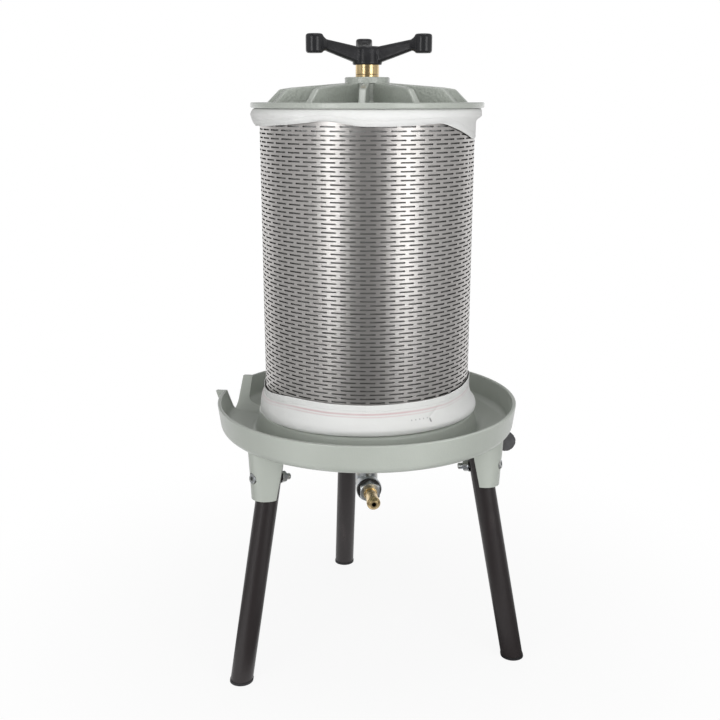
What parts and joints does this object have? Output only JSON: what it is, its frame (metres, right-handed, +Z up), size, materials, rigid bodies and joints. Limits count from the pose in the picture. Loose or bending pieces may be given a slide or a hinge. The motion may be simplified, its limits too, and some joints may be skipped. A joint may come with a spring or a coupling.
{
  "type": "bladder fruit press",
  "caption": "Fruit press with a slotted steel basket on a cast spouted bowl, tube legs, an air-blown rubber bladder and a ribbed lid clamped by a star handle.",
  "frame": {"origin": "on the floor at the middle of the outline seen from above; the spindle axis stands at x = -2.7 mm, y = -12.2 mm", "axes": "+Z up along the spindle, +X to the right, -Y to the front where the hose tail points"},
  "size_m": [0.4068, 0.409, 0.7814],
  "materials": {
    "cast_paint": "hammered light grey-green enamel on a casting",
    "leg_paint": "satin black powder coat",
    "foot_rubber": "matt black",
    "zinc": "bright zinc plate",
    "stainless": "turned stainless steel",
    "basket_steel": "bright rolled stainless sheet with slots",
    "bladder_rubber": "smooth black rubber",
    "seal_rubber": "matt black",
    "brass": "turned brass",
    "black_plastic": "fine-grained black moulding",
    "bag_cloth": "white woven press cloth with a faint pink stripe in its hem"
  },
  "bodies": {
    "stand": {"juice_bowl": "cast_paint", "leg_back": "leg_paint", "leg_left": "leg_paint", "leg_right": "leg_paint", "foot_cap_back": "foot_rubber", "foot_cap_left": "foot_rubber", "foot_cap_right": "foot_rubber", "leg_bolts": "zinc", "leg_washers": "zinc", "leg_nuts": "zinc", "spindle": "stainless", "spindle_lock_washer": "zinc", "spindle_lock_nut": "zinc", "bladder": "bladder_rubber", "bladder_band_lower": "stainless", "bladder_band_upper": "stainless", "air_tee": "zinc", "hex_nipple": "zinc", "air_elbow": "zinc", "inlet_seal": "seal_rubber", "inlet_bush": "zinc", "hose_tail": "brass", "vent_pipe": "zinc", "vent_valve_body": "brass"},
    "vent_cock": {"vent_stem": "brass", "vent_knob": "black_plastic"},
    "pressing_basket": {"basket": "basket_steel", "basket_foot_ring": "basket_steel", "basket_rim_ring": "basket_steel", "press_bag": "bag_cloth"},
    "lid_assembly": {"lid": "cast_paint", "lid_gasket": "seal_rubber"},
    "washer": {"thrust_washer": "brass"},
    "handle": {"clamp_nut": "brass", "star_handle": "black_plastic"}
  },
  "joints": [
    {"name": "basket_lift", "type": "slide", "parent": "stand", "child": "pressing_basket", "axis": [0, 0, 1], "range_m": [0, 0.44]},
    {"name": "lid_lift", "type": "slide", "parent": "pressing_basket", "child": "lid_assembly", "axis": [0, 0, 1], "range_m": [0, 0.08]},
    {"name": "nut_travel", "type": "slide", "parent": "lid_assembly", "child": "washer", "axis": [0, 0, 1], "range_m": [0, 0.0281]},
    {"name": "handle_turn", "type": "hinge", "parent": "washer", "child": "handle", "pos_m": [-0.00275, -0.01219, 0.7477], "axis": [0, 0, 1], "range_deg": [0, 2520]},
    {"name": "vent_turn", "type": "hinge", "parent": "stand", "child": "vent_cock", "pos_m": [0.17686, 0.01722, 0.271], "axis": [0.1616, -0.9869, 0], "range_deg": [0, 90]}
  ],
  "couplings": [
    {"joint": "nut_travel", "follows": "handle_turn", "m_per_rad": 0.00063662}
  ]
}
